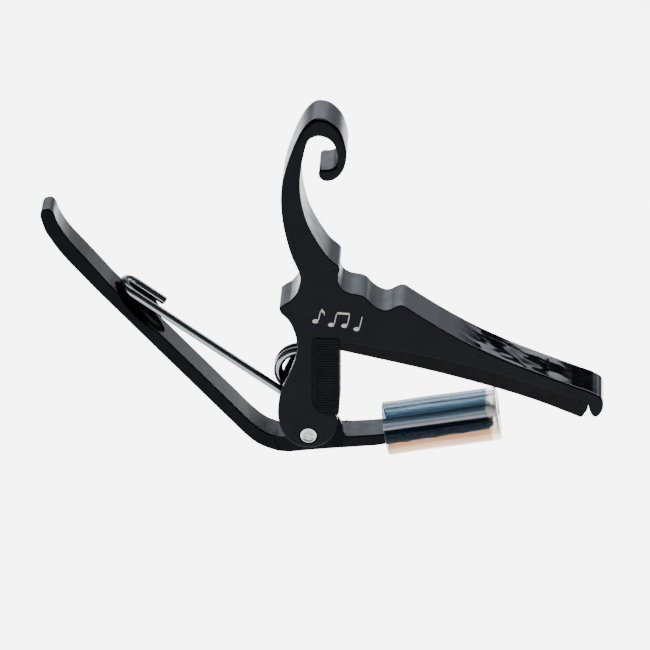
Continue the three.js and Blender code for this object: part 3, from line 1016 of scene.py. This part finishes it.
def from_object(azimuth, elevation, distance):
    """A place seen from the object at that bearing, clockwise from +Y, and height, in degrees."""
    a, e = math.radians(azimuth), math.radians(elevation)
    return Vector((math.sin(a) * math.cos(e), math.cos(a) * math.cos(e), math.sin(e))) * distance


def flat(name, width, depth, material):
    """A staging sheet, not part of the capo."""
    bm = bmesh.new()
    bmesh.ops.create_grid(bm, x_segments=1, y_segments=1, size=0.5)
    for v in bm.verts:
        v.co.x *= width
        v.co.y *= depth
    obj = new_object(name, bm)
    obj.data.materials.append(material)
    return obj


def area_light(name, at, aim, size, power):
    data = bpy.data.lights.new(name, "AREA")
    data.shape = "RECTANGLE"
    data.size, data.size_y = size
    data.energy = power
    light = bpy.data.objects.new(name, data)
    light.location = at
    light.rotation_mode = "QUATERNION"
    light.rotation_quaternion = (Vector(aim) - Vector(at)).to_track_quat("-Z", "Y")
    bpy.context.scene.collection.objects.link(light)


def build_floor():
    material, tree, shader, coords = new_material("pale_floor")
    grain = spread(tree, noise(tree, coords, 6, 2), 0, 1)
    pale = mix(tree, grain, (0.88, 0.88, 0.88), (0.9, 0.9, 0.9))
    tree.links.new(pale, shader.inputs["Base Color"])
    shader.inputs["Roughness"].default_value = 0.9
    shader.inputs["Specular IOR Level"].default_value = 0.0
    distance = tree.nodes.new("ShaderNodeVectorMath")
    distance.operation = "LENGTH"
    tree.links.new(coords, distance.inputs[0])
    glow = spread(tree, distance.outputs["Value"], GLOW, DIM, GLOW_RADIUS, DIM_RADIUS)
    shader.inputs["Emission Color"].default_value = (1, 1, 1, 1)
    tree.links.new(glow, shader.inputs["Emission Strength"])
    floor = flat("floor", 3, 3, material)
    floor.location.z = cad_low.z - FLOOR_DROP


def build_dark_card():
    """A dark card beyond the capo, whose reflection blackens the arm's glossy end."""
    material, tree, shader, coords = new_material("dark_card")
    tone = mix(tree, noise(tree, coords, 30), (0.01, 0.01, 0.01), (0.015, 0.015, 0.015))
    tree.links.new(tone, shader.inputs["Base Color"])
    shader.inputs["Specular IOR Level"].default_value = 0.0
    card = flat("dark_card", 0.42, 0.2, material)
    card.rotation_mode = "QUATERNION"
    card.location = from_object(*CARD_PLACE) + Vector((0.04, 0, 0.02))
    card.rotation_quaternion = (-from_object(*CARD_PLACE)).to_track_quat("Z", "Y")


def build_world():
    """A dim studio with one broad soft window beyond the capo, and dark overhead."""
    world = bpy.data.worlds.new("studio")
    world.use_nodes = True
    bpy.context.scene.world = world
    tree = world.node_tree
    background = tree.nodes["Background"]
    direction = tree.nodes.new("ShaderNodeTexCoord").outputs["Generated"]
    facing = tree.nodes.new("ShaderNodeVectorMath")
    facing.operation = "DOT_PRODUCT"
    tree.links.new(direction, facing.inputs[0])
    facing.inputs[1].default_value = from_object(*WINDOW_PLACE)
    window = spread(tree, facing.outputs["Value"], 0, 1, math.cos(WINDOW_RIM), math.cos(WINDOW_CORE))
    low_sky = mix(tree, window, (0.22, 0.24, 0.28), (2.85, 3.0, 3.35))
    rise = spread(tree, axes_of(tree, direction)["Z"], 0, 1, 0.48, 0.66)
    tree.links.new(mix(tree, rise, low_sky, (0.07, 0.072, 0.08)), background.inputs["Color"])
    background.inputs["Strength"].default_value = 1


def build_camera():
    """A long lens a little right of square to the capo's side, looking down on it, tilted with the stand."""
    level_share = math.cos(CAMERA_ELEVATION)
    sideways, forwards = math.sin(CAMERA_AZIMUTH), math.cos(CAMERA_AZIMUTH)
    back = Vector((sideways * level_share, -forwards * level_share, math.sin(CAMERA_ELEVATION)))
    right = Vector((forwards, sideways, 0))
    upward = back.cross(right)
    turn = Matrix.Rotation(-STAND_ANGLE, 3, "Y")
    axes = Matrix((turn @ right, turn @ upward, turn @ back)).transposed()
    data = bpy.data.cameras.new("camera")
    data.sensor_width = SENSOR
    data.lens = SENSOR * LENS_PER_SENSOR
    data.clip_start = 0.05
    data.clip_end = 20
    camera = bpy.data.objects.new("camera", data)
    camera.matrix_world = axes.to_4x4()
    camera.location = place(*(CAMERA_TARGET + back * CAMERA_DISTANCE))
    bpy.context.scene.collection.objects.link(camera)
    bpy.context.scene.camera = camera


build_floor()
build_dark_card()
area_light("side_strip", from_object(44, 44, 1.2), (0.03, 0, 0.03), (0.25, 0.7), 5)
area_light("overhead_softbox", (0.0, 0.1, 1.3), (0, 0, 0), (0.9, 0.5), 9)
build_world()
build_camera()
